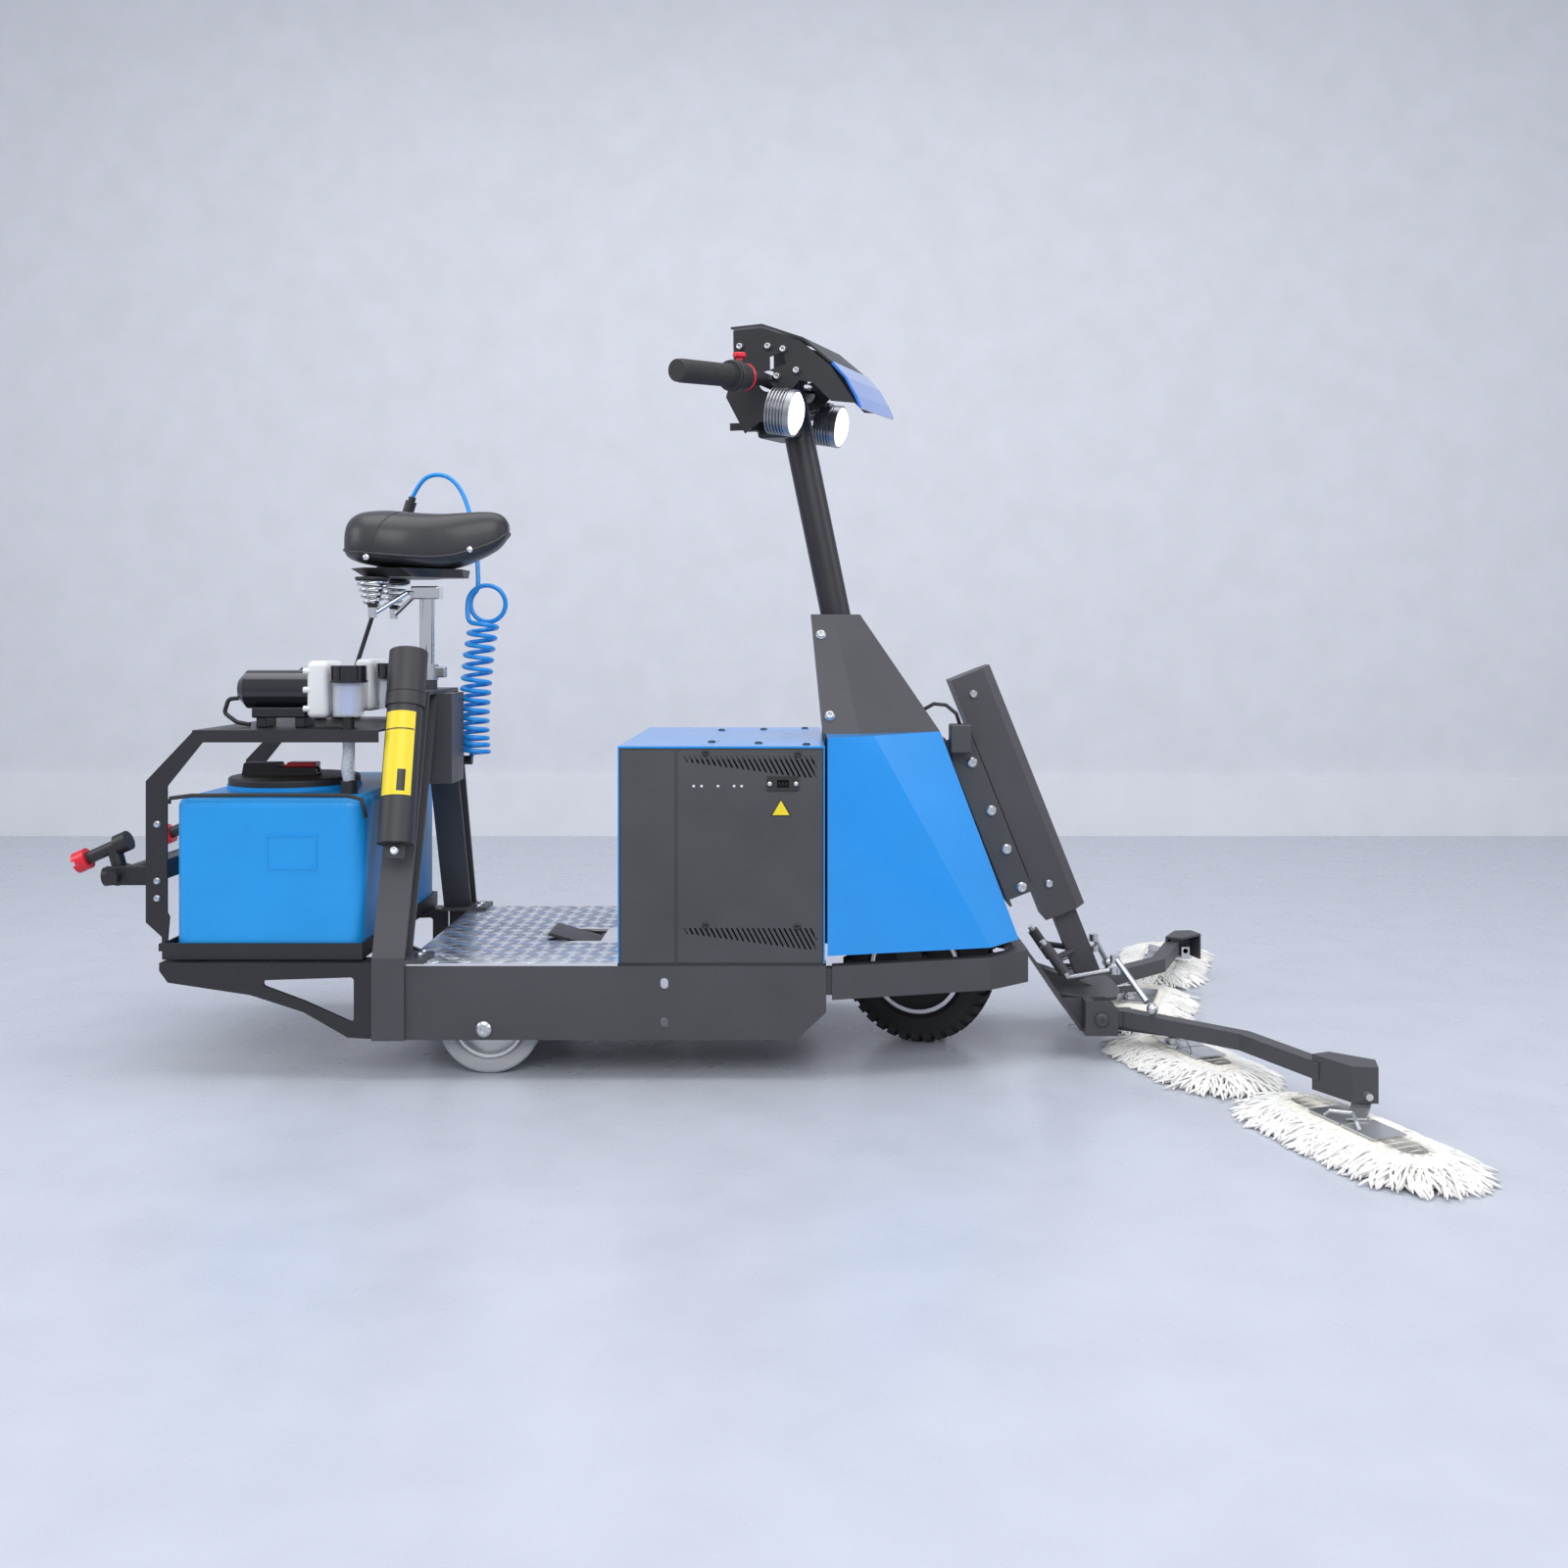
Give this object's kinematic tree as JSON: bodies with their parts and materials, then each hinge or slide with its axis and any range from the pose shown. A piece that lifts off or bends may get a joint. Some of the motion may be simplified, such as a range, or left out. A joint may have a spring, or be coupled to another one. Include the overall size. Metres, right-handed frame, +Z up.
{
  "type": "ride-on dust mop scooter",
  "caption": "Three-wheeled ride-on floor cleaner with a V of cotton dust mops on a front lift, a seat on a hoop and a rear tank with pumps, nozzles and a spray gun.",
  "frame": {"origin": "on the floor under the middle of the machine", "axes": "+X the way it drives, +Y its left side, +Z up"},
  "size_m": [2.0172, 1.3906, 1.199],
  "materials": {
    "grey_powder": "fine-textured anthracite powder coat",
    "black_powder": "satin black powder coat",
    "blue_powder": "glossy azure powder coat",
    "blue_tank": "satin moulded polyethylene",
    "tread_plate": "bright five-bar tread plate",
    "zinc": "bright zinc plated",
    "chrome": "chrome plated",
    "hub_silver": "silver painted casting",
    "black_rubber": "ribbed rubber",
    "front_tyre": "block tread",
    "grey_tyre": "non-marking rubber on a pale rim",
    "black_plastic": "moulded glass-filled nylon",
    "white_plastic": "white moulded plastic",
    "red_plastic": "red moulded plastic",
    "clear_plastic": "clear polycarbonate",
    "lens": "clear lamp lens",
    "vinyl": "black grained vinyl",
    "hose_blue": "translucent blue polyurethane",
    "braided_hose": "clear hose with a woven braid",
    "cotton": "cotton yarn and canvas"
  },
  "bodies": {
    "chassis": {"chassis_frame": "grey_powder", "footplate": "tread_plate", "box_shell": "blue_powder", "side_panels": "grey_powder", "box_contents": "black_plastic", "charging_inlet": "black_plastic", "hood": "blue_powder", "column_cover": "grey_powder", "bumper": "grey_powder", "head_tube": "black_powder", "seat_hoop": "grey_powder", "frame_bolts": "zinc", "rear_carrier": "black_powder", "tank": "blue_tank", "pump_motors": "black_powder", "pump_heads": "white_plastic", "filter_bowls": "clear_plastic", "pump_hoses": "braided_hose", "document_tube": "black_plastic", "spray_gun": "black_plastic", "hose_lead": "hose_blue", "hose_coil": "hose_blue", "lift_mount": "grey_powder", "lift_cover": "grey_powder"},
    "steering": {"steering_column": "black_powder", "fork": "black_powder", "handlebar": "black_plastic", "head_plates": "black_powder", "head_nose": "blue_powder", "headlight_bodies": "black_plastic", "headlight_lenses": "lens"},
    "front_wheel": {"front_tyre": "front_tyre", "front_hub_motor": "hub_silver"},
    "throttle": {"throttle_grip": "black_rubber"},
    "stop": {"stop_button": "red_plastic"},
    "key": {"ignition_key": "black_plastic"},
    "pedal": {"foot_pedal": "black_powder"},
    "rear_right": {"rear_right_wheel": "grey_tyre"},
    "rear_left": {"rear_left_wheel": "grey_tyre"},
    "post": {"seat_post": "chrome", "saddle_springs": "chrome"},
    "saddle": {"saddle_cushion": "vinyl", "saddle_pan": "black_plastic"},
    "lid": {"tank_lid": "black_plastic"},
    "lever": {"lid_lever": "red_plastic"},
    "doc_cap": {"document_cap": "black_plastic"},
    "spray_bar": {"nozzle_bodies": "black_plastic", "nozzle_caps": "red_plastic"},
    "trigger": {"gun_trigger": "black_plastic"},
    "carriage": {"mop_carriage": "grey_powder"},
    "crank_r": {"crank_right": "zinc"},
    "crank_l": {"crank_left": "zinc"},
    "arm_r": {"arm_right": "grey_powder"},
    "arm_l": {"arm_left": "grey_powder"},
    "link_r": {"link_right": "zinc"},
    "link_l": {"link_left": "zinc"},
    "inner_r": {"inner_mop_right": "cotton"},
    "inner_l": {"inner_mop_left": "cotton"},
    "outer_r": {"outer_mop_right": "cotton"},
    "outer_l": {"outer_mop_left": "cotton"}
  },
  "joints": [
    {"name": "steer_turn", "type": "hinge", "parent": "chassis", "child": "steering", "pos_m": [0.20695, 0, 0.716], "axis": [-0.2013, 0, 0.9795], "range_deg": [-27, 63]},
    {"name": "front_wheel_spin", "type": "hinge", "parent": "steering", "child": "front_wheel", "pos_m": [0.3489, -0.00678, 0.12889], "axis": [0.3027, 0.9511, 0.0622], "continuous": true},
    {"name": "throttle_twist", "type": "hinge", "parent": "steering", "child": "throttle", "pos_m": [0.03892, -0.19193, 1.08511], "axis": [-0.5649, -0.8198, -0.094], "range_deg": [0, 60], "stiffness_Nm_per_rad": 0.3},
    {"name": "stop_press", "type": "slide", "parent": "steering", "child": "stop", "axis": [-0.0096, -0.0622, 0.998], "range_m": [-0.004, 0], "stiffness_N_per_m": 1200},
    {"name": "key_turn", "type": "hinge", "parent": "steering", "child": "key", "pos_m": [0.0562, -0.06163, 1.02533], "axis": [0.953, -0.3027, -0.0096], "range_deg": [0, 90]},
    {"name": "pedal_press", "type": "hinge", "parent": "chassis", "child": "pedal", "pos_m": [-0.18705, -0.029, 0.168], "axis": [0, -1, 0], "range_deg": [0, 9], "stiffness_Nm_per_rad": 8},
    {"name": "rear_right_spin", "type": "hinge", "parent": "chassis", "child": "rear_right", "pos_m": [-0.33605, -0.18, 0.08], "axis": [0, 1, 0], "continuous": true},
    {"name": "rear_left_spin", "type": "hinge", "parent": "chassis", "child": "rear_left", "pos_m": [-0.33605, 0.18, 0.08], "axis": [0, 1, 0], "continuous": true},
    {"name": "seat_height", "type": "slide", "parent": "chassis", "child": "post", "axis": [0, 0, 1], "range_m": [-0.05, 0.06]},
    {"name": "saddle_bounce", "type": "slide", "parent": "post", "child": "saddle", "axis": [0, 0, 1], "range_m": [-0.012, 0], "stiffness_N_per_m": 30000, "deforming": ["saddle_springs"]},
    {"name": "lid_turn", "type": "hinge", "parent": "chassis", "child": "lid", "pos_m": [-0.69405, -0.04, 0.44], "axis": [0, 0, 1], "range_deg": [0, 90]},
    {"name": "lever_flip", "type": "hinge", "parent": "lid", "child": "lever", "pos_m": [-0.70805, -0.04, 0.461], "axis": [0, -1, 0], "range_deg": [0, 75]},
    {"name": "cap_pull", "type": "slide", "parent": "chassis", "child": "doc_cap", "axis": [-0.0224, 0.3267, 0.9449], "range_m": [0, 0.06]},
    {"name": "spray_bar_turn", "type": "hinge", "parent": "chassis", "child": "spray_bar", "pos_m": [-0.93105, 0, 0.301], "axis": [0, 1, 0], "range_deg": [-20, 20]},
    {"name": "trigger_pull", "type": "hinge", "parent": "chassis", "child": "trigger", "pos_m": [-0.58605, 0.182, 0.802], "axis": [0, -1, 0], "range_deg": [0, 5], "stiffness_Nm_per_rad": 0.4},
    {"name": "mop_lift", "type": "slide", "parent": "chassis", "child": "carriage", "axis": [-0.3697, 0, 0.9291], "range_m": [0, 0.05]},
    {"name": "arm_right_raise", "type": "hinge", "parent": "carriage", "child": "arm_r", "pos_m": [0.62795, -0.118, 0.066], "axis": [0, -1, 0], "range_deg": [0, 20]},
    {"name": "arm_left_raise", "type": "hinge", "parent": "carriage", "child": "arm_l", "pos_m": [0.62795, 0.118, 0.066], "axis": [0, -1, 0], "range_deg": [0, 20]},
    {"name": "crank_right_turn", "type": "hinge", "parent": "carriage", "child": "crank_r", "pos_m": [0.58595, -0.06, 0.119], "axis": [-0.5708, 0, 0.8211], "range_deg": [0, 12.6]},
    {"name": "crank_left_turn", "type": "hinge", "parent": "carriage", "child": "crank_l", "pos_m": [0.58595, 0.06, 0.119], "axis": [0.5708, 0, -0.8211], "range_deg": [0, 12.6]},
    {"name": "link_right_swing", "type": "hinge", "parent": "arm_r", "child": "link_r", "pos_m": [0.70195, -0.165, 0.091], "axis": [-0.5639, 0.2831, -0.7758], "range_deg": [0, 20.6]},
    {"name": "link_left_swing", "type": "hinge", "parent": "arm_l", "child": "link_l", "pos_m": [0.70195, 0.165, 0.091], "axis": [0.5639, 0.2831, 0.7758], "range_deg": [0, 20.6]},
    {"name": "inner_mop_right_tilt", "type": "hinge", "parent": "carriage", "child": "inner_r", "pos_m": [0.73895, -0.154, 0.044], "axis": [0, 1, 0], "range_deg": [-2, 2]},
    {"name": "inner_mop_left_tilt", "type": "hinge", "parent": "carriage", "child": "inner_l", "pos_m": [0.73895, 0.154, 0.044], "axis": [0, 1, 0], "range_deg": [-2, 2]},
    {"name": "outer_mop_right_tilt", "type": "hinge", "parent": "arm_r", "child": "outer_r", "pos_m": [0.92095, -0.457, 0.05], "axis": [0, 1, 0], "range_deg": [-4, 4]},
    {"name": "outer_mop_left_tilt", "type": "hinge", "parent": "arm_l", "child": "outer_l", "pos_m": [0.92095, 0.457, 0.05], "axis": [0, 1, 0], "range_deg": [-4, 4]}
  ],
  "couplings": [
    {"joint": "crank_right_turn", "follows": "arm_right_raise", "ratio": 0.62366},
    {"joint": "crank_left_turn", "follows": "arm_left_raise", "ratio": 0.62366},
    {"joint": "link_right_swing", "follows": "arm_right_raise", "ratio": 1.024},
    {"joint": "link_left_swing", "follows": "arm_left_raise", "ratio": 1.024}
  ]
}
